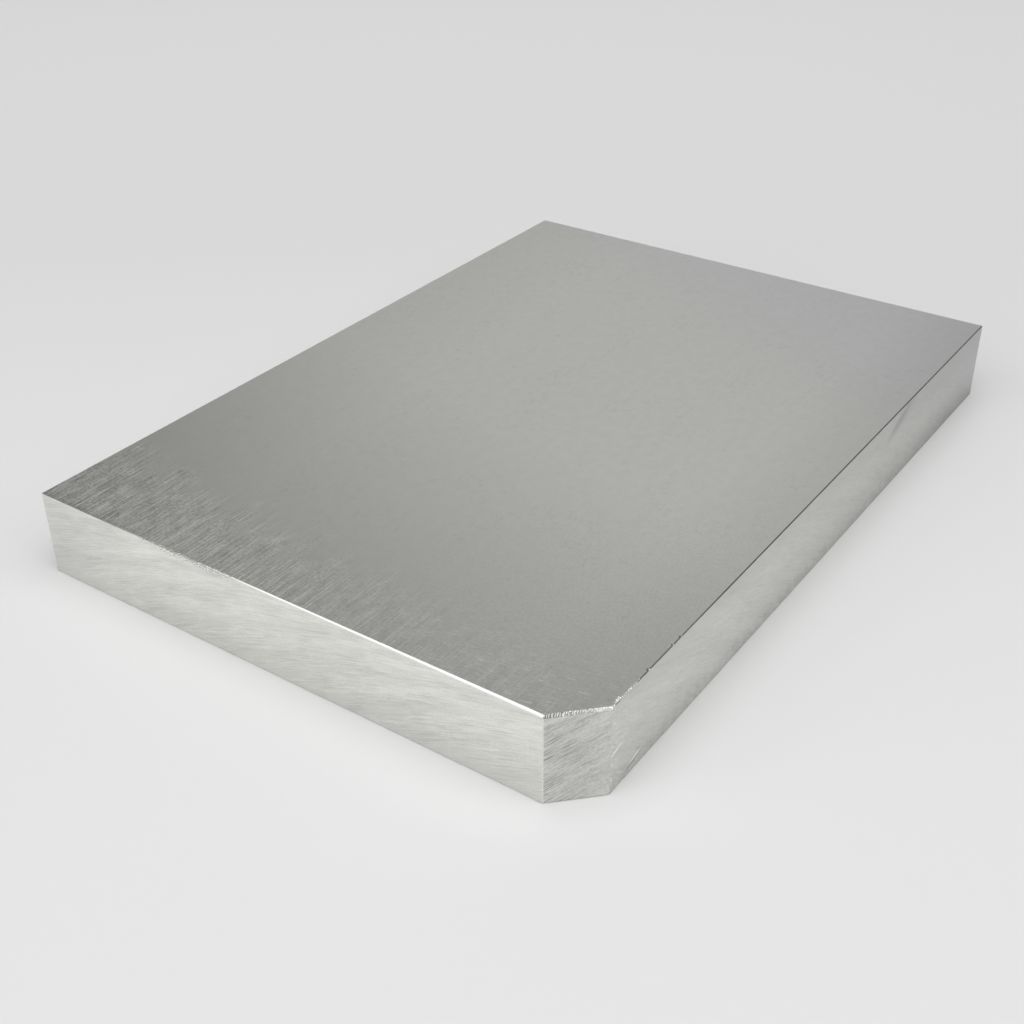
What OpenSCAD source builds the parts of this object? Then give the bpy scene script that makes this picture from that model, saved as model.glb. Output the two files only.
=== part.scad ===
// Sawn blank of rolled aluminium plate: one corner is cut off at 45 degrees and the edges are filed.
// The origin is at the centre of the bottom face. The plate was rolled along Y, and +Z is up.

/* [Plate] */
// Width across the rolling direction
plate_width = 170; // [60:1:600]
// Length along the rolling direction
plate_length = 240; // [60:1:1200]
// Thickness as rolled
plate_thickness = 25; // [8:0.5:60]

/* [Clipped corner] */
// How far the 45 degree cut runs in from the right front corner, along each side
clip_leg = 10.5; // [4:0.5:40]

/* [Filed top edges] */
// Chamfer on the front end, where the file starts at the left corner
front_file_start = 0.1; // [0.05:0.05:0.5]
// Chamfer on the front end, where the file leaves at the clipped corner
front_file_end = 0.6; // [0.1:0.05:1.5]
// Chamfer along the top of the clipped corner
clip_file = 0.65; // [0.1:0.05:1.5]
// Chamfer on the two long sides
side_file = 0.25; // [0.05:0.05:1.5]
// Chamfer on the back end
back_file = 0.25; // [0.05:0.05:1.5]

/* [Other edges] */
// Chamfer all round the bottom face
bottom_file = 0.3; // [0.05:0.05:1.5]
// Width taken off each leg of the upright corners
corner_file = 0.15; // [0.05:0.05:1]

/* [Hidden] */

half_width = plate_width / 2;
half_length = plate_length / 2;

// Corners as sawn, anticlockwise from the left front, with edge i running from corner i to the next.
sawn_corners = [
    [-half_width, -half_length],
    [half_width - clip_leg, -half_length],
    [half_width, -half_length + clip_leg],
    [half_width, half_length],
    [-half_width, half_length]
];
edge_count = len(sawn_corners);

// The chamfer leg at the start and at the end of each top edge.
top_files = [
    [front_file_start, front_file_end],
    [clip_file, clip_file],
    [side_file, side_file],
    [back_file, back_file],
    [side_file, side_file]
];

function next(i) = (i + 1) % edge_count;
function previous(i) = (i + edge_count - 1) % edge_count;
function heading(from, to) = (to - from) / norm(to - from);

// The sawn outline with a small flat filed on each upright corner.
function filed_outline() = [
    for (i = [0 : edge_count - 1])
        let (corner = sawn_corners[i])
        for (neighbour = [sawn_corners[previous(i)], sawn_corners[next(i)]])
            corner + corner_file * heading(corner, neighbour)
];

// What a file takes off one edge of the face at z = 0, which has the metal below it and to the
// left of the run from one point to the other. The chamfer is flat and grows from leg to leg.
module file_stroke(from, to, leg_from, leg_to) {
    run = norm(to - from);
    way = heading(from, to);
    taper = atan2(leg_to - leg_from, run);
    slope = atan(1 / cos(taper));
    reach = 4 * max(leg_from, leg_to);
    translate([from.x, from.y, 0])
        rotate([0, 0, atan2(way.y, way.x)])
            translate([0, leg_from, 0])
                rotate([0, 0, taper])
                    rotate([slope, 0, 0])
                        translate([-reach, -reach, 0])
                            cube([run + 2 * reach, 2 * reach, reach]);
}

module filed_edges(files) {
    for (i = [0 : edge_count - 1])
        file_stroke(sawn_corners[i], sawn_corners[next(i)], files[i][0], files[i][1]);
}

module plate() {
    bottom_files = [for (i = [0 : edge_count - 1]) [bottom_file, bottom_file]];
    color("silver")
        difference() {
            linear_extrude(plate_thickness)
                polygon(filed_outline());
            translate([0, 0, plate_thickness])
                filed_edges(top_files);
            mirror([0, 0, 1])
                filed_edges(bottom_files);
        }
}

plate();
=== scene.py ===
"""The looks of a sawn blank of rolled aluminium plate that lies on a pale floor."""
import math

import bmesh
import bpy
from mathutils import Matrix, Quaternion, Vector, noise


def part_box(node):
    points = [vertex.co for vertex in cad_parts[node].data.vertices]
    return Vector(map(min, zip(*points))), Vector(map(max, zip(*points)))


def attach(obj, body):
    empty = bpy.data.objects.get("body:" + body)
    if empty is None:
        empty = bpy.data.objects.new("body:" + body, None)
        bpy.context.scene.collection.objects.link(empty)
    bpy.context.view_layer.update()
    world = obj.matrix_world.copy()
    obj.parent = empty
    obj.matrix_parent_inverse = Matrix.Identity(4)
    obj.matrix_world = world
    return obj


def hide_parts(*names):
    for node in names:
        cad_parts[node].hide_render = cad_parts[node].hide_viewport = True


MM = 0.001
UP = Vector((0, 0, 1))
GRAIN = "grain"      # UV map in metres: U runs along the grain or the saw marks, V across them
# Where clean is low, the filed edge is drawn darker, partly as painted shade.
CLEAN = "clean"      # attribute: 1 where the file has cleaned an edge, 0 where it has missed it
CUT_LEG = 10.5 * MM      # what the cut corner takes off the front end and off the right side

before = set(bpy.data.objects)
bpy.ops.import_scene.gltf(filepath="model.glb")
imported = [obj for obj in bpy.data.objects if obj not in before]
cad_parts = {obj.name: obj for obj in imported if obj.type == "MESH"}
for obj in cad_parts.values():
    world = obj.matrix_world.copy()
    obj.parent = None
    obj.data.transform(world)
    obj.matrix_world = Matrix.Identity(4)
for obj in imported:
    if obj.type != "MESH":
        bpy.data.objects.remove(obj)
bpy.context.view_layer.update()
low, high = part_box("plate")
scene = bpy.context.scene


def direction(azimuth, elevation):
    """A unit vector. Azimuth 0 is along +Y and 90 along +X, both in degrees."""
    a, e = math.radians(azimuth), math.radians(elevation)
    return Vector((math.sin(a) * math.cos(e), math.cos(a) * math.cos(e), math.sin(e)))


def link(name, data):
    """Puts a new object in the scene."""
    obj = bpy.data.objects.new(name, data)
    scene.collection.objects.link(obj)
    return obj


# ---------------------------------------------------------------- nodes

def linear(hex_colour):
    """A linear colour from an sRGB one such as "#c8c8c4"."""
    parts = [int(hex_colour[i:i + 2], 16) / 255 for i in (1, 3, 5)]
    curve = [p / 12.92 if p <= 0.04045 else ((p + 0.055) / 1.055) ** 2.4 for p in parts]
    return (*curve, 1.0)


def add(tree, kind, inputs=(), out=None, **settings):
    """Adds a node, sets it up and returns one output. Each input is a value or another node's output."""
    node = tree.nodes.new("ShaderNode" + kind)
    for name, value in settings.items():
        setattr(node, name, value)
    for key, value in inputs.items() if isinstance(inputs, dict) else enumerate(inputs):
        if isinstance(value, bpy.types.NodeSocket):
            tree.links.new(value, node.inputs[key])
        else:
            node.inputs[key].default_value = value
    if out:
        return node.outputs[out]
    return next((socket for socket in node.outputs if socket.enabled), None)


def empty_tree(owner):
    """The node tree of a new material or world, cleared."""
    owner.use_nodes = True
    owner.node_tree.nodes.clear()
    return owner.node_tree


# ---------------------------------------------------------------- finishes

def streaks(tree, long_mm, wide_mm, offset, detail=2.0, wavy=0.0, turn=0.0):
    """Noise about 0.5, in streaks of that length along the grain and that width across it.

    Wavy bends them, by a share of their size. Turn slants them, in degrees from the grain.
    """
    turned = add(tree, "Mapping", {"Vector": add(tree, "UVMap", uv_map=GRAIN),
                                   "Rotation": (0, 0, math.radians(-turn))})
    place = add(tree, "Mapping", {"Vector": turned, "Location": (offset, offset, 0),
                                  "Scale": (1 / (long_mm * MM), 1 / (wide_mm * MM), 1)})
    return add(tree, "TexNoise", {"Vector": place, "Scale": 1.0, "Detail": detail, "Roughness": 0.55,
                                  "Distortion": wavy}, noise_dimensions="2D")


def soft_mark(tree, middle_mm, long_mm, wide_mm, slope, heading=0.0):
    """A soft oval mark on an upright face. Its middle is in mm, and the face runs at a heading from +Y."""
    place = add(tree, "Mapping", {"Vector": add(tree, "TexCoord", out="Object"),
                                  "Location": Vector(middle_mm) * MM,
                                  "Rotation": (math.radians(slope), 0, math.radians(-heading)),
                                  "Scale": (0.1, long_mm / 2 * MM, wide_mm / 2 * MM)},
                vector_type="TEXTURE")
    reach = add(tree, "VectorMath", [place], out="Value", operation="LENGTH")
    return add(tree, "MapRange", [reach, 1.0, 0.2], interpolation_type="SMOOTHSTEP")


def tinted(tree, colour, layers):
    """Lays tints over a colour. Each layer is where it lies, how much of it there is, and its tint."""
    for amount, share, tint in layers:
        amount = add(tree, "Math", [amount, share], operation="MULTIPLY")
        colour = add(tree, "Mix", {0: amount, 6: colour, 7: linear(tint)}, data_type="RGBA")
    return colour


def bare_metal(name, make_surface, anisotropy):
    """Metal with its grain along U, so that highlights stretch across the grain."""
    material = bpy.data.materials.new(name)
    tree = empty_tree(material)
    colour, roughness, height, height_mm = make_surface(tree)
    bump = add(tree, "Bump", {"Height": height, "Distance": height_mm * MM})
    tangent = add(tree, "Tangent", direction_type="UV_MAP", uv_map=GRAIN)
    shader = add(tree, "BsdfPrincipled", {"Base Color": colour, "Metallic": 1.0, "Roughness": roughness,
                                          "Anisotropic": anisotropy, "Anisotropic Rotation": 0.25,
                                          "Normal": bump, "Tangent": tangent})
    add(tree, "OutputMaterial", {"Surface": shader})
    return material


def rolled_skin(tree):
    """Mill finish off the rolls: a satin skin, scored along the grain where it has been handled."""
    x, y = (add(tree, "SeparateXYZ", [add(tree, "TexCoord", out="Object")], out=axis) for axis in "XY")
    from_front = add(tree, "Math", [y, low.y], operation="SUBTRACT")
    from_left = add(tree, "Math", [x, low.x], operation="SUBTRACT")
    from_right = add(tree, "Math", [high.x, x], operation="SUBTRACT")

    # Scores close together near the front end, with grit and blotches between them. They fade toward
    # the right, the scores first. Shade is how much lighter or darker than the clean skin they are.
    # Real scores are finer than 0.1 mm, and these are 0.3 to 0.4 mm wide so that they show.
    ragged = add(tree, "Math", [streaks(tree, 16, 6, 3.0), 30 * MM, from_front], operation="MULTIPLY_ADD")
    ragged = add(tree, "Math", [from_left, 0.08, ragged], operation="MULTIPLY_ADD")
    handled = add(tree, "MapRange", [ragged, 50 * MM, 32 * MM], interpolation_type="SMOOTHSTEP")
    long_scores = streaks(tree, 26, 0.30, 6.0, detail=1.0)
    shade = 0.012
    for pattern, share, at_right in ((streaks(tree, 8, 0.42, 5.0, detail=3.0), 1.3, 0.12),
                                     (long_scores, 0.7, 0.1),
                                     (streaks(tree, 0.9, 0.6, 17.0, detail=3.0), 1.05, 0.2),
                                     (streaks(tree, 5, 2.6, 18.0), 0.6, 0.35)):
        strength = add(tree, "MapRange", [from_left, 10 * MM, 130 * MM, share, share * at_right])
        pattern = add(tree, "Math", [pattern, 0.5], operation="SUBTRACT")
        shade = add(tree, "Math", [pattern, strength, shade], operation="MULTIPLY_ADD")
    glints = add(tree, "MapRange", [long_scores, 0.60, 0.70], interpolation_type="SMOOTHSTEP")
    strength = add(tree, "MapRange", [from_left, 60 * MM, 140 * MM, 0.16, 0.08])
    shade = add(tree, "Math", [glints, strength, shade], operation="MULTIPLY_ADD")
    shade = add(tree, "Math", [shade, handled], operation="MULTIPLY")

    # A few short light scratches across the grain, near the cut corner.
    crossing = add(tree, "MapRange", [streaks(tree, 5, 0.3, 21.0, detail=1.0, turn=80), 0.63, 0.74],
                   interpolation_type="SMOOTHSTEP")
    near_corner = add(tree, "Math", [add(tree, "MapRange", [from_right, 85 * MM, 40 * MM]),
                                     add(tree, "MapRange", [from_front, 34 * MM, 10 * MM])],
                      operation="MULTIPLY")
    scratches = add(tree, "Math", [crossing, near_corner], operation="MULTIPLY")

    # Mottling all over, finest and strongest near the cut corner, and small shallow pits in patches.
    rubbed = add(tree, "Math", [from_front, from_right], operation="ADD")
    rubbed = add(tree, "MapRange", [rubbed, 130 * MM, 50 * MM, 0.04, 0.21])
    fine = add(tree, "MapRange", [streaks(tree, 1.0, 0.7, 12.0, detail=3.0), 0.35, 0.65])
    fine = add(tree, "Math", [fine, rubbed], operation="MULTIPLY")
    mottle = add(tree, "MapRange", [streaks(tree, 4.0, 3.0, 13.0, detail=3.0), 0.35, 0.65])
    pits = add(tree, "Math", [streaks(tree, 24, 14, 2.0), 0.5, streaks(tree, 2.4, 1.4, 9.0)],
               operation="MULTIPLY_ADD")
    pits = add(tree, "MapRange", [pits, 0.88, 1.02], interpolation_type="SMOOTHSTEP")

    # Darker toward the front end and both sides: the skin made duller by handling, and painted shade.
    dulled_and_shaded = add(tree, "Math", [from_left, 0.25, from_front], operation="MULTIPLY_ADD")
    dulled_and_shaded = add(tree, "MapRange", [dulled_and_shaded, 120 * MM, 38 * MM, 0.0, 0.82])
    for border in ([from_left, 45 * MM, 0.0, 0.0, 0.35], [from_right, 25 * MM, 0.0, 0.0, 0.45]):
        dulled_and_shaded = add(tree, "Math", [dulled_and_shaded, add(tree, "MapRange", border)], operation="ADD")
    # The far right corner looks a little cooler.
    cool = add(tree, "Math", [from_left, 0.5, from_front], operation="MULTIPLY_ADD")
    cool = add(tree, "MapRange", [cool, 230 * MM, 270 * MM])
    # A dark line along the front edge, up to where the file takes hold of it.
    front_line = add(tree, "Math", [add(tree, "MapRange", [from_front, 1.4 * MM, 0.6 * MM]),
                                    add(tree, "MapRange", [from_left, 42 * MM, 22 * MM])],
                     operation="MULTIPLY")
    colour = tinted(tree, linear("#eeefe9"), (
        (cool, 1.0, "#ecedec"), (dulled_and_shaded, 0.40, "#adaea9"), (fine, 1.0, "#b4b5b1"),
        (front_line, 0.25, "#80807d"), (mottle, 0.06, "#b4b5b1"), (pits, 0.07, "#7f7f7c"),
        (scratches, 0.6, "#fbfbf9")))
    level = add(tree, "Math", [shade, 1.0], operation="ADD")
    colour = add(tree, "VectorMath", {0: colour, "Scale": level}, operation="SCALE")
    clouds = streaks(tree, 26, 12, 1.0, detail=4.0)
    roughness = add(tree, "Math", [clouds, 0.03, 0.325], operation="MULTIPLY_ADD")
    height = add(tree, "Math", [shade, 4.0], operation="MULTIPLY")
    height = add(tree, "Math", [pits, -0.5, height], operation="MULTIPLY_ADD")
    height = add(tree, "Math", [streaks(tree, 18, 0.7, 5.0), 0.25, height], operation="MULTIPLY_ADD")
    return colour, roughness, height, 0.006


def sawn_surface(tree, dark, light, lines_mm, line_share, depth_mm, flow_mm=40, painted_low_shade=-0.5, grit=0.5,
                 hair=0.7, fading=(1.0, 1.0)):
    """Bright metal off the saw, with fine lines side by side along the blade's path.

    Lines are so long and so wide in mm. Flow is how long its broad light and dark swathes are, foot
    sets the painted shade that darkens it toward the floor, and grit and hair are how strongly it is
    speckled and lined. Fading is the strength of the lines at the two ends of the cut corner.
    """
    y, z = (add(tree, "SeparateXYZ", [add(tree, "TexCoord", out="Object")], out=axis) for axis in "YZ")
    # The blade's finest lines, drawn about three times as wide as they are so that they show.
    hairs = streaks(tree, flow_mm / 4, 0.30, 6.0, wavy=0.2)
    even = 0.35 - (grit + hair) / 2
    # Painted shade: the tone darkens toward the floor.
    tone = add(tree, "MapRange", [z, low.z, high.z, painted_low_shade + even, 0.3 + even])
    for pattern, share in ((streaks(tree, flow_mm, flow_mm / 9, 69.7, detail=3.0), 1.0),
                           (streaks(tree, flow_mm / 8, flow_mm / 32, 79.7, detail=4.0), 0.7),
                           (streaks(tree, 0.8, 0.45, 16.0), grit),
                           (hairs, hair)):
        tone = add(tree, "Math", [pattern, share, tone], operation="MULTIPLY_ADD")
    lines = add(tree, "Math", [streaks(tree, 16, 6, 24.0), 0.45, streaks(tree, *lines_mm, 8.0, wavy=0.3)],
                operation="MULTIPLY_ADD")
    lines = add(tree, "MapRange", [lines, 0.77, 0.86], interpolation_type="SMOOTHSTEP")
    strength = add(tree, "MapRange", [y, low.y, low.y + CUT_LEG, *fading])
    lines = add(tree, "Math", [lines, strength], operation="MULTIPLY")
    # Painted shade: darker toward the back end, most of all along the top.
    painted_back_shade = add(tree, "Math", [add(tree, "MapRange", [y, low.y + 30 * MM, high.y, 0.0, 0.62]),
                              add(tree, "MapRange", [z, low.z + 12 * MM, low.z + 20 * MM, 1.0, 1.35])],
               operation="MULTIPLY")
    # Specks of torn metal under the stretches of edge where the file took hold.
    torn = add(tree, "Attribute", out="Fac", attribute_name=CLEAN)
    torn = add(tree, "Math", [1.0, torn], operation="SUBTRACT")
    specks = streaks(tree, 0.5, 0.4, 31.0, detail=1.0)
    dents, chips = (add(tree, "Math", [add(tree, "MapRange", [specks, *reach]), torn], operation="MULTIPLY")
                    for reach in ((0.44, 0.34), (0.54, 0.64)))
    colour = add(tree, "Mix", {0: add(tree, "MapRange", [tone, 0.8, 1.7]),
                               6: linear(dark), 7: linear(light)}, data_type="RGBA")
    colour = tinted(tree, colour, ((painted_back_shade, 1.0, "#a9aaa7"), (lines, line_share, "#80807d"),
                                   (dents, 1.0, "#666663"), (chips, 1.0, "#ffffff")))
    roughness = add(tree, "Math", [hairs, 0.1, 0.28], operation="MULTIPLY_ADD")
    height = add(tree, "Math", [hairs, lines], operation="SUBTRACT")
    return colour, roughness, height, depth_mm


def sawn_end(tree):
    """The ends, off a plate saw: fine slanting lines, a little cooler at the left of the front end."""
    colour, *relief = sawn_surface(tree, "#d9dad5", "#f3f4ee", (12, 0.26), 0.18, 0.003, grit=0.7)
    cool = soft_mark(tree, (low.x / MM, low.y / MM, 20), 70, 46, slope=0, heading=90)
    return tinted(tree, colour, ((cool, 0.18, "#b9babe"),)), *relief


def sawn_side(tree):
    """The long sides, with a smear left by a clamp and bright scratches and specks near the cut corner."""
    colour, *relief = sawn_surface(tree, "#d3d4cf", "#e7e8e3", (9, 0.4), 0.10, 0.002, painted_low_shade=-0.15,
                                   grit=1.0, hair=0.45)
    y, z = (add(tree, "SeparateXYZ", [add(tree, "TexCoord", out="Object")], out=axis) for axis in "YZ")
    # Toward the far end, a cooler tone above a slanting line, and painted shade low down below it.
    rise = add(tree, "Math", [y, 0.5476, z], operation="MULTIPLY_ADD")
    cool_above_slant = add(tree, "MapRange", [rise, 66 * MM, 69 * MM], interpolation_type="SMOOTHSTEP")
    below = add(tree, "Math", [add(tree, "MapRange", [y, 50 * MM, 95 * MM]),
                               add(tree, "MapRange", [z, 11 * MM, 2 * MM])], operation="MULTIPLY")
    under_line = add(tree, "Math", [1.0, cool_above_slant], operation="SUBTRACT")
    below = add(tree, "Math", [below, under_line], operation="MULTIPLY")
    specks = add(tree, "Math", [add(tree, "MapRange", [streaks(tree, 2.0, 0.7, 33.0), 0.55, 0.75]),
                                add(tree, "MapRange", [y, low.y + CUT_LEG + 14 * MM, low.y + CUT_LEG])],
                 operation="MULTIPLY")
    under_edge = add(tree, "MapRange", [z, high.z - 9 * MM, high.z])
    near = add(tree, "MapRange", [y, low.y + 90 * MM, low.y + 10 * MM])
    # Painted shade: a band darker toward the floor, with a ragged top.
    painted_low_shade = add(tree, "Math", [streaks(tree, 3.0, 1.6, 36.0, detail=3.0), 10 * MM, z],
               operation="MULTIPLY_ADD")
    painted_low_shade = add(tree, "MapRange", [painted_low_shade, 11 * MM, 4 * MM], interpolation_type="SMOOTHSTEP")
    layers = [(cool_above_slant, 0.35, "#b9babe"), (below, 0.25, "#8a8a86"), (under_edge, 0.28, "#a9aaa6"),
              (near, 0.16, "#a9aaa6"), (painted_low_shade, 0.20, "#6b6b68"), (specks, 0.5, "#ffffff")]
    # The clamp's smear, then the scratches: run from the cut corner and height, length, width, slope,
    # share and tint.
    for run, up, long_mm, wide_mm, slope, share, tint in ((163, 21.5, 34, 8, 21, 0.22, "#7d7d7a"),
                                                          (162, 21.5, 24, 3.5, 21, 0.3, "#7d7d7a"),
                                                          (10, 2.5, 10, 0.9, 13, 0.5, "#6b6b68"),
                                                          (2.4, 11.3, 8, 0.8, 13, 1.0, "#ffffff"),
                                                          (11.2, 3.5, 7.5, 0.8, 14, 1.0, "#ffffff")):
        middle = (high.x / MM, (low.y + CUT_LEG) / MM + run, up)
        layers.append((soft_mark(tree, middle, long_mm, wide_mm, slope), share, tint))
    return tinted(tree, colour, layers), *relief


def hacked_corner(tree):
    """The cut corner, off a coarse hacksaw: deep lines, strongest on the left, and painted shade over the
    middle.
    """
    colour, *relief = sawn_surface(tree, "#b5b6b1", "#dfdfdb", (8, 0.24), 0.65, 0.010, flow_mm=16,
                                   painted_low_shade=0.3, grit=0.9, fading=(1.0, 0.35))
    # Painted shade over the middle of the face.
    middle = ((high.x - CUT_LEG / 2) / MM, (low.y + CUT_LEG / 2) / MM, 9)
    shade = soft_mark(tree, middle, 19, 34, slope=0, heading=45)
    return tinted(tree, colour, ((shade, 0.10, "#80807d"),)), *relief


def torn_metal(tree):
    """Metal that tore or was hacked with a coarse file, matt and light grey."""
    crumbs = streaks(tree, 0.5, 0.4, 7.0)
    colour = add(tree, "Mix", {0: crumbs, 6: linear("#cfcfcc"), 7: linear("#f4f4f2")}, data_type="RGBA")
    return colour, 0.5, crumbs, 0.01


def filed_edge(tree):
    """The cleanest metal on the plate, with the file's strokes along it, and where it was missed, duller
    metal with painted shade.
    """
    strokes = streaks(tree, 3.0, 0.15, 2.0)     # twice as wide as real ones, so that they show
    clean = add(tree, "Attribute", out="Fac", attribute_name=CLEAN)
    colour = add(tree, "Mix", {0: strokes, 6: linear("#dededc"), 7: linear("#f0f0ee")}, data_type="RGBA")
    # Where the file missed: duller metal, and painted shade for the dark line along those stretches.
    missed = add(tree, "Math", [1.0, clean], operation="SUBTRACT")
    colour = add(tree, "Mix", {0: missed, 6: colour, 7: linear("#8a8a87")}, data_type="RGBA")
    roughness = add(tree, "Math", [missed, 0.2, 0.26], operation="MULTIPLY_ADD")
    return colour, roughness, strokes, 0.004


# ---------------------------------------------------------------- plate

# Each face belongs to the skin, to a filed edge, to a hacked or torn stretch of one, or to the sawn
# side with its number.
SKIN, EDGE, HACKED, TORN, SAWN = 1, 2, 3, 4, 10
FRONT, BACK, LEFT, RIGHT, CORNER = "front", "back", "left", "right", "corner"

# Relief of the saw marks: its depth, and the width of the columns that carry it.
RELIEF = {FRONT: (0.016 * MM, 1.0 * MM), BACK: (0.016 * MM, 1.0 * MM),
          LEFT: (0.006 * MM, 1.25 * MM), RIGHT: (0.006 * MM, 1.25 * MM),
          CORNER: (0.045 * MM, 0.25 * MM)}
ROW = 0.32 * MM
BLADE_RADIUS = {FRONT: 350 * MM, BACK: 350 * MM, LEFT: 200 * MM, RIGHT: 200 * MM}
BLADE_REACH = 8 * MM     # how far the blade's top stands over the plate
SAW_SLOPE = math.radians(22)
HACKSAW_SLOPE = math.radians(28)


class SawnSide:
    """One sawn side of the plate, measured from its lower left corner as seen from outside."""

    def __init__(self, face, number):
        self.number = number
        self.normal = face.normal.copy()
        self.along = UP.cross(self.normal)
        self.plane = face.verts[0].co.dot(self.normal)
        runs = [vert.co.dot(self.along) for vert in face.verts]
        self.start, self.length = min(runs), max(runs) - min(runs)
        if abs(self.normal.y) > 0.99:
            self.name = FRONT if self.normal.y < 0 else BACK
        elif abs(self.normal.x) > 0.99:
            self.name = LEFT if self.normal.x < 0 else RIGHT
        else:
            self.name = CORNER

    def run(self, point):
        """How far along the side a point is."""
        return point.dot(self.along) - self.start

    def drop(self, point):
        """0 at the top skin and 1 at the sawn side, for a point on the filed edge between them."""
        down, inward = high.z - point.z, self.plane - point.dot(self.normal)
        return down / max(down + inward, 0.001 * MM)

    def has_edge(self, face):
        """Whether a filed edge runs along this side."""
        return face.normal.xy.normalized().dot(self.normal.xy) > 0.999

    def marks(self, point):
        """The place of a point along and across the saw marks: arcs of a big blade, or straight strokes."""
        u, v = self.run(point), point.z
        if self.name == CORNER:
            c, s = math.cos(HACKSAW_SLOPE), math.sin(HACKSAW_SLOPE)
            return u * c + v * s, v * c - u * s
        radius = BLADE_RADIUS[self.name]
        chord = math.sqrt(radius ** 2 - (v - high.z - BLADE_REACH + radius) ** 2)
        rising = 1 if self.name in (FRONT, BACK) else -1
        return rising * u / math.cos(SAW_SLOPE), (rising * u + chord) * math.sin(SAW_SLOPE)


def sort_faces(bm):
    """Writes what each face belongs to in a layer that later cuts keep."""
    layer = bm.faces.layers.int.new("part_of")
    sides = []
    for face in bm.faces:
        if abs(face.normal.z) > 0.99:
            face[layer] = SKIN
        elif abs(face.normal.z) < 0.01 and face.calc_area() > 100 * MM * MM:
            face[layer] = SAWN + len(sides)
            sides.append(SawnSide(face, len(sides)))
        else:
            face[layer] = EDGE
    return layer, sides


def slice_faces(bm, chosen, side, runs):
    """Cuts the chosen faces across a side, at each distance along it."""
    faces = [face for face in bm.faces if chosen(face)]
    edges = {edge for face in faces for edge in face.edges}
    verts = {vert for face in faces for vert in face.verts}
    pieces = [*faces, *edges, *verts]
    for run in runs:
        cut = bmesh.ops.bisect_plane(bm, geom=pieces, dist=0.0001 * MM,
                                     plane_co=side.along * (side.start + run), plane_no=side.along)
        pieces = cut["geom"]


def evenly(start, end, step):
    """The places of the cuts that divide a stretch into even steps."""
    count = max(1, round((end - start) / step))
    return [start + (end - start) * i / count for i in range(1, count)]


def hump(x, start, end):
    """A smooth hump from 0 at the start, to 1, and back to 0 at the end."""
    t = (x - start) / (end - start)
    return math.sin(math.pi * t) ** 0.5 if 0 < t < 1 else 0.0


def wander(*place):
    """Smooth noise from about -1 to 1."""
    return noise.noise(Vector((*place, 0.5, 0.5)[:3]))


# How deep the metal is bitten, in mm, at a run along the side in mm. Drop is 0 at the top skin and
# 1 at the sawn side.

BURR = (0.0, 12.0)            # along the right side
NICKED = (12.0, 31.0)         # along the right side
TAKING_HOLD = (36.0, 72.0)    # along the front, where the file first takes hold of the edge


def file_cuts(run, drop):
    """The cuts of a coarse file, side by side: 1 in a cut and 0 between. They merge toward the right."""
    phase = run / 0.6 + 0.6 * drop + 0.5 * wander(run / 1.5, 3.0)
    phase += min(run / 9, 0.8) * wander(run / 0.7, 2.5 * drop, 11.0)
    tick = 1 - abs(2 * (phase % 1) - 1)
    end = 0.85 + 0.4 * wander(math.floor(phase) * 1.7, 19.0)
    cut = (tick - 0.55 + run / 20) / 0.3 * min(1, max(0, end - drop + run / 20) / 0.2)
    return min(max(cut, 0), 1)


def file_ticks(run, drop):
    """The relief of those cuts, as long as they stay apart."""
    return 0.05 * file_cuts(run, drop) * hump(run, -4.0, 11.0)


def torn_burr(run, drop):
    """Torn metal next to the cut corner, and a flake turned up behind the edge, with ragged teeth."""
    crumbs = max(0.0, 0.12 + 0.7 * wander(run / 0.4, 4 * drop, 5.0)) * min(12.5 - run, 5) / 5
    if drop > 0.4:
        return crumbs * (1 - hump(run, 0.4, 4.6))
    tooth = 1 - run / 0.6 % 1
    flake = (run - 1.4) / 2.6 if 1.4 < run < 4.0 else 0
    gap = 0.15 * tooth + 0.5 * flake if drop == 0 else 0.3 * tooth
    return crumbs + gap * min(3 * flake, 1)


def nicks(run, drop):
    """Three nicks in the right edge, beyond the burr."""
    deep = sum(depth * hump(run, start, end) for depth, start, end in (
        (0.5, 15.0, 15.9), (0.35, 25.8, 26.6), (0.3, 29.2, 30.4)))
    return deep * (1 - drop)


def ragged_edge(run, drop):
    """Where the file first takes hold of the front edge."""
    crumbs = 0.04 + 0.5 * max(0.0, wander(run / 0.5, drop * 3, 27.0))
    return crumbs * hump(run, *TAKING_HOLD)


# Rough stretches of the top edge: from and to along the side, the spacing of the cuts, what its faces
# become, and how it is bitten.
STRETCHES = ((CORNER, 0.0, 14.6, 0.1, EDGE, file_ticks),
             (RIGHT, *BURR, 0.2, TORN, torn_burr),
             (RIGHT, *NICKED, 0.2, HACKED, nicks),
             (FRONT, *TAKING_HOLD, 0.25, HACKED, ragged_edge))
LIP_BITE = 0.28     # the deepest bite below the top skin, in mm
SHALLOW = 0.03      # a face bitten less than this, in mm, keeps the filed finish


def roughen(bm, layer, side, start, end, step, kind, bite):
    """Bites into a stretch of the top edge along one side."""
    def on_top_edge(face):
        return face[layer] == EDGE and face.normal.z > 0.1 and side.has_edge(face)

    slice_faces(bm, on_top_edge, side, [run * MM for run in evenly(start, end, step)])
    edge_faces = [face for face in bm.faces if on_top_edge(face)]
    for vert in {vert for face in edge_faces for vert in face.verts}:
        run, drop = side.run(vert.co) / MM, side.drop(vert.co)
        if start + step / 2 < run < end - step / 2:
            on_skin = drop < 0.01
            depth = bite(run, 0) if on_skin else min(bite(run, drop), LIP_BITE)
            way = side.normal * (1 - drop) + UP * drop if on_skin or kind != TORN else UP
            vert.co -= way * depth * MM
    for face in edge_faces:
        centre = face.calc_center_median()
        run = side.run(centre) / MM
        if start < run < end and bite(run, min(side.drop(centre), 1)) > SHALLOW:
            face[layer] = kind


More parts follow.
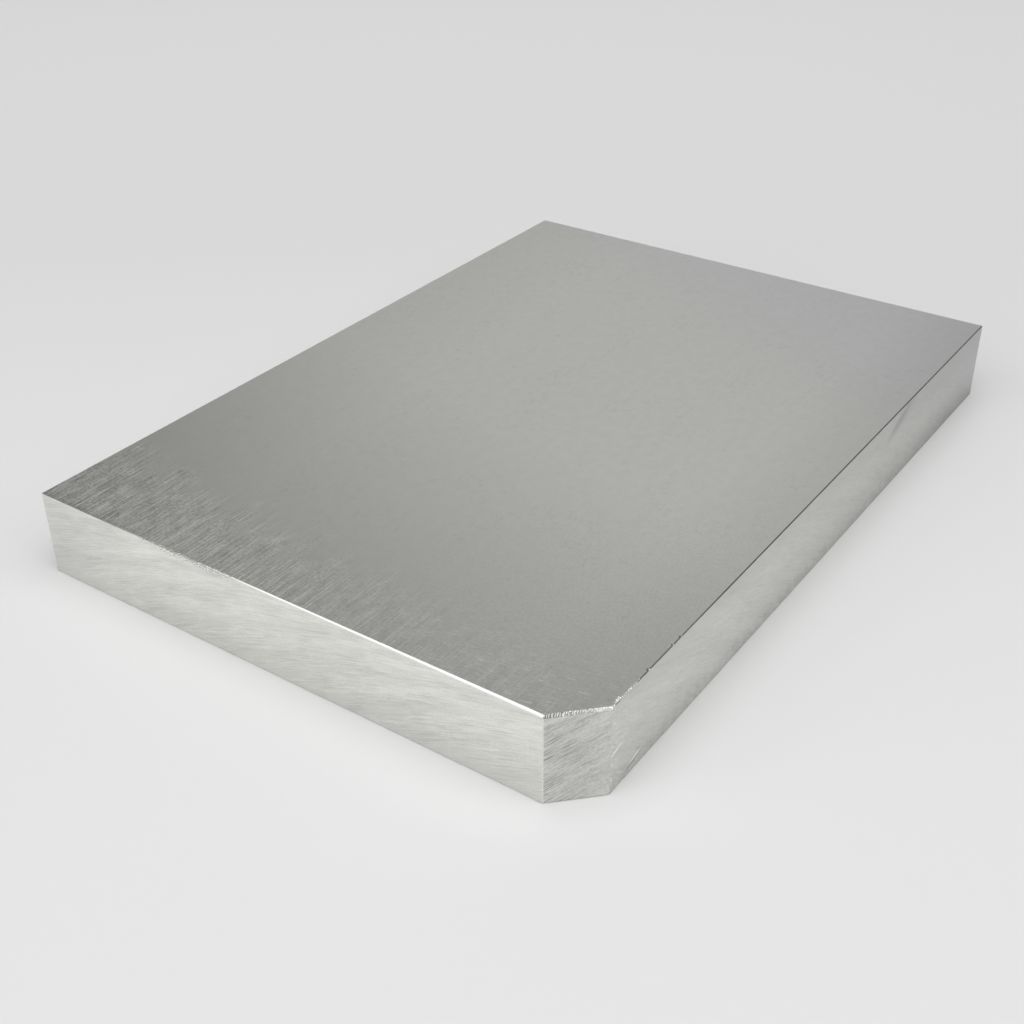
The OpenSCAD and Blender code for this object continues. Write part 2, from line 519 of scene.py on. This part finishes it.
def sink_saw_marks(bm, layer, side):
    """Sinks the relief of the saw marks into a sawn side."""
    depth = RELIEF[side.name][0]
    for vert in {vert for face in bm.faces if face[layer] == SAWN + side.number for vert in face.verts}:
        t, s = (part / MM for part in side.marks(vert.co))
        coarse = wander(s / 2.2, t / 30, side.number * 7.3)
        fine = wander(s / 0.9, t / 12, side.number * 3.1 + 40)
        vert.co -= side.normal * depth * min(max(0.5 + 0.45 * coarse + 0.5 * fine, 0), 1)


def map_grain(bm, layer, sides):
    """Lays the grain map along the rolling direction, the saw marks and the edges."""
    grain = bm.loops.layers.uv.new(GRAIN)
    for face in bm.faces:
        along = UP.cross(face.normal).normalized()
        across = face.normal.cross(along)
        for loop in face.loops:
            point = loop.vert.co
            if face[layer] >= SAWN:
                loop[grain].uv = sides[face[layer] - SAWN].marks(point)
            elif face[layer] in (EDGE, HACKED, TORN):
                loop[grain].uv = (point.dot(along), point.dot(across))
            else:
                loop[grain].uv = (point.y, point.x)


# The run in mm at which the file starts to clean an edge, and the run at which it is clean.
CLEANING = {FRONT: (20, 80), RIGHT: (50, 12)}


def how_clean(side, point, filed):
    """How clean the file has left a point of a top edge, or of the sawn metal under it, from 0 to 1."""
    run, drop, down = side.run(point) / MM, side.drop(point), (high.z - point.z) / MM
    taking_hold = hump(run, *TAKING_HOLD) if side.name == FRONT else 0
    if not filed:
        return 1 - taking_hold * min(1, 2 - down)
    if side.name == CORNER:
        return (0.8 + run / 70) * file_cuts(run, drop)
    missed, cleaned = CLEANING[side.name]
    share = min(max((run - missed) / (cleaned - missed), 0), 1)
    if side.name == RIGHT:
        share *= 1 - min(1, 3 * (nicks(run - 0.3, drop) + nicks(run + 0.3, drop)))
    if side.name == FRONT:
        share *= 1 - 0.5 * max(0, 2 * drop - 1)
        share += 0.6 * taking_hold * wander(run / 0.35, drop * 3, 29.0)
    return max(share, 0)


def mark_clean(bm, layer, sides):
    """Writes how clean the file has left each corner of the faces along the top edges."""
    clean = bm.loops.layers.float.new(CLEAN)
    for face in bm.faces:
        centre = face.calc_center_median()
        side = min(sides, key=lambda side: side.plane - centre.dot(side.normal))
        filed = face[layer] in (HACKED, TORN) or face[layer] == EDGE and face.normal.z > 0.1
        near_top = centre.z > high.z - 2 * MM and (filed or face[layer] >= SAWN)
        marked = near_top and side.name in (FRONT, CORNER, RIGHT)
        for loop in face.loops:
            loop[clean] = how_clean(side, loop.vert.co, filed) if marked else 1.0


def plate_blank():
    """The plate's own solid, finely divided along its sides to carry the marks of the tools."""
    bm = bmesh.new()
    bm.from_mesh(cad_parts["plate"].data)
    bmesh.ops.remove_doubles(bm, verts=bm.verts, dist=0.001 * MM)
    bmesh.ops.dissolve_limit(bm, angle_limit=math.radians(0.5), verts=bm.verts, edges=bm.edges)
    layer, sides = sort_faces(bm)

    # The upright edge between the cut corner and the right side is only rubbed, so it shades as sawn
    # metal. It faces halfway between them.
    corner = next(side for side in sides if side.name == CORNER)
    halfway = direction(112.5, 0)
    for face in bm.faces:
        if face[layer] == EDGE and abs(face.normal.z) < 0.1 and face.normal.dot(halfway) > 0.99:
            face[layer] = SAWN + corner.number

    # Rows along each top edge, from the skin to the side.
    brink = high.z - 0.05 * MM
    across = [edge for edge in bm.edges
              if edge.calc_length() < 2 * MM and all(abs(face.normal.z) < 0.9 for face in edge.link_faces)
              and min(vert.co.z for vert in edge.verts) < brink < max(vert.co.z for vert in edge.verts)]
    bmesh.ops.subdivide_edges(bm, edges=across, cuts=3, use_grid_fill=False)

    # Columns, then rows, to carry the saw marks.
    for side in sides:
        def beside(face, side=side):
            return face[layer] == SAWN + side.number or face[layer] == EDGE and side.has_edge(face)
        slice_faces(bm, beside, side, evenly(0, side.length, RELIEF[side.name][1]))
    upright = [edge for edge in bm.edges
               if abs(edge.verts[0].co.z - edge.verts[1].co.z) > 10 * MM]
    bmesh.ops.subdivide_edges(bm, edges=upright, cuts=round((high.z - low.z) / ROW), use_grid_fill=False)

    for name, *stretch in STRETCHES:
        roughen(bm, layer, next(side for side in sides if side.name == name), *stretch)
    for side in sides:
        sink_saw_marks(bm, layer, side)
    map_grain(bm, layer, sides)
    mark_clean(bm, layer, sides)

    # Each finish is smooth in itself, with a crisp line between finishes.
    slots = {SKIN: 0, EDGE: 4, HACKED: 4, TORN: 5}
    slots.update({SAWN + side.number: {FRONT: 1, BACK: 1, LEFT: 2, RIGHT: 2, CORNER: 3}[side.name]
                  for side in sides})
    for face in bm.faces:
        face.material_index = slots[face[layer]]
        face.smooth = face[layer] not in (HACKED, TORN)
    for edge in bm.edges:
        parts = {face[layer] for face in edge.link_faces}
        edge.smooth = len(parts) == 1 and edge.calc_face_angle(0) < math.radians(30)
    mesh = bpy.data.meshes.new("plate_blank")
    bm.to_mesh(mesh)
    bm.free()
    return mesh


plate = link("plate_blank", plate_blank())
for finish in (bare_metal("rolled_aluminium", rolled_skin, 0.3),
               bare_metal("sawn_end_aluminium", sawn_end, 0.3),
               bare_metal("sawn_side_aluminium", sawn_side, 0.3),
               bare_metal("sawn_corner_aluminium", hacked_corner, 0.3),
               bare_metal("filed_aluminium", filed_edge, 0.2),
               bare_metal("torn_aluminium", torn_metal, 0.0)):
    plate.data.materials.append(finish)
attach(plate, "root")
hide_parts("plate")


# ---------------------------------------------------------------- studio

def painted_floor():
    """A matt white floor with painted shading, a touch greyer just behind the plate and lighter farther
    back, that fades into the walls far out.
    """
    material = bpy.data.materials.new("painted_floor")
    tree = empty_tree(material)
    place = add(tree, "TexCoord", out="Object")
    away = add(tree, "VectorMath", [place, direction(-35, 0)], out="Value", operation="DOT_PRODUCT")
    # Painted shading: greyer just behind the plate, lighter farther back.
    behind = add(tree, "MapRange", [away, -150 * MM, 180 * MM, 0.0, 0.055])
    beyond = add(tree, "MapRange", [away, 180 * MM, 600 * MM, 0.0, 0.095])
    grey = add(tree, "Math", [behind, beyond], operation="SUBTRACT")
    level = add(tree, "Math", [1.0, grey], operation="SUBTRACT")
    colour = add(tree, "VectorMath", {0: linear("#e8e8e8")[:3], "Scale": level}, operation="SCALE")
    paint = add(tree, "BsdfPrincipled", {"Base Color": colour, "Roughness": 0.7,
                                         "Specular IOR Level": 0.2})
    far_out = add(tree, "VectorMath", [place], out="Value", operation="LENGTH")
    fade = add(tree, "MapRange", [far_out, 1.2, 3.0], interpolation_type="SMOOTHSTEP")
    surface = add(tree, "MixShader", [fade, paint, add(tree, "BsdfTransparent")])
    add(tree, "OutputMaterial", {"Surface": surface})
    bm = bmesh.new()
    bmesh.ops.create_grid(bm, x_segments=1, y_segments=1, size=15.0)
    mesh = bpy.data.meshes.new("floor")
    bm.to_mesh(mesh)
    bm.free()
    mesh.materials.append(material)
    link("floor", mesh)


def softbox(name, azimuth, elevation, distance, width, height, radiance):
    """A rectangular lamp that faces the plate."""
    lamp = bpy.data.lights.new(name, "AREA")
    lamp.shape = "RECTANGLE"
    lamp.size = width
    lamp.size_y = height
    lamp.energy = radiance * math.pi * width * height
    obj = link(name, lamp)
    toward = direction(azimuth, elevation)
    obj.location = toward * distance
    obj.rotation_euler = toward.to_track_quat("Z", "Y").to_euler()


# How brightly the walls and the ceiling shine, and how high the ones end and the other starts, on a
# sphere of radius 1.
WALL_LIGHT, CEILING_LIGHT = 0.5, 0.12
WALL_END, CEILING_START = math.sin(math.radians(4)), math.sin(math.radians(15))
# Azimuth, elevation, sharpness and strength of each glow.
GLOWS = ((-20, 36, 14.0, 0.57), (-50, 12, 14.0, 0.4))


def room():
    """A room with pale walls at the horizon, darker above, and broad soft glows."""
    world = bpy.data.worlds.new("room")
    scene.world = world
    tree = empty_tree(world)
    toward = add(tree, "TexCoord", out="Generated")
    height = add(tree, "SeparateXYZ", [toward], out="Z")
    light = add(tree, "MapRange", [height, WALL_END, CEILING_START, WALL_LIGHT, CEILING_LIGHT],
                interpolation_type="SMOOTHSTEP")
    for azimuth, elevation, sharpness, strength in GLOWS:
        aim = add(tree, "VectorMath", [toward, direction(azimuth, elevation)], out="Value",
                  operation="DOT_PRODUCT")
        off = add(tree, "Math", [aim, 1.0], operation="SUBTRACT")
        fall = add(tree, "Math", [off, sharpness], operation="MULTIPLY")
        fall = add(tree, "Math", [fall], operation="EXPONENT")
        light = add(tree, "Math", [fall, strength, light], operation="MULTIPLY_ADD")
    background = add(tree, "Background", {"Strength": light})
    add(tree, "OutputWorld", {"Surface": background})


painted_floor()
softbox("overhead_softbox", 150, 80, 2.6, 2.6, 2.6, 2.1)
softbox("front_left_softbox", -158, 30, 3.5, 4.2, 3.2, 1.3)
softbox("right_softbox", 85, 46, 3.0, 2.4, 2.4, 1.2)
room()


# ---------------------------------------------------------------- camera

CAMERA_AIM = Vector((0.69, -25.54, 0.0)) * MM
CAMERA_DISTANCE = 412 * MM
CAMERA_ROLL = math.radians(-0.46)


def camera():
    """The camera looks over the cut corner, along the plate."""
    lens = bpy.data.cameras.new("camera")
    lens.sensor_width = 36.0
    lens.lens = 49.86
    lens.clip_start = 0.01
    lens.clip_end = 60.0
    obj = link("camera", lens)
    back = direction(180 - 35.04, 32.38)
    obj.location = CAMERA_AIM + back * CAMERA_DISTANCE
    obj.rotation_mode = "QUATERNION"
    obj.rotation_quaternion = (-back).to_track_quat("-Z", "Y") @ Quaternion((0, 0, 1), CAMERA_ROLL)
    scene.camera = obj


camera()
scene.view_settings.view_transform = "Standard"
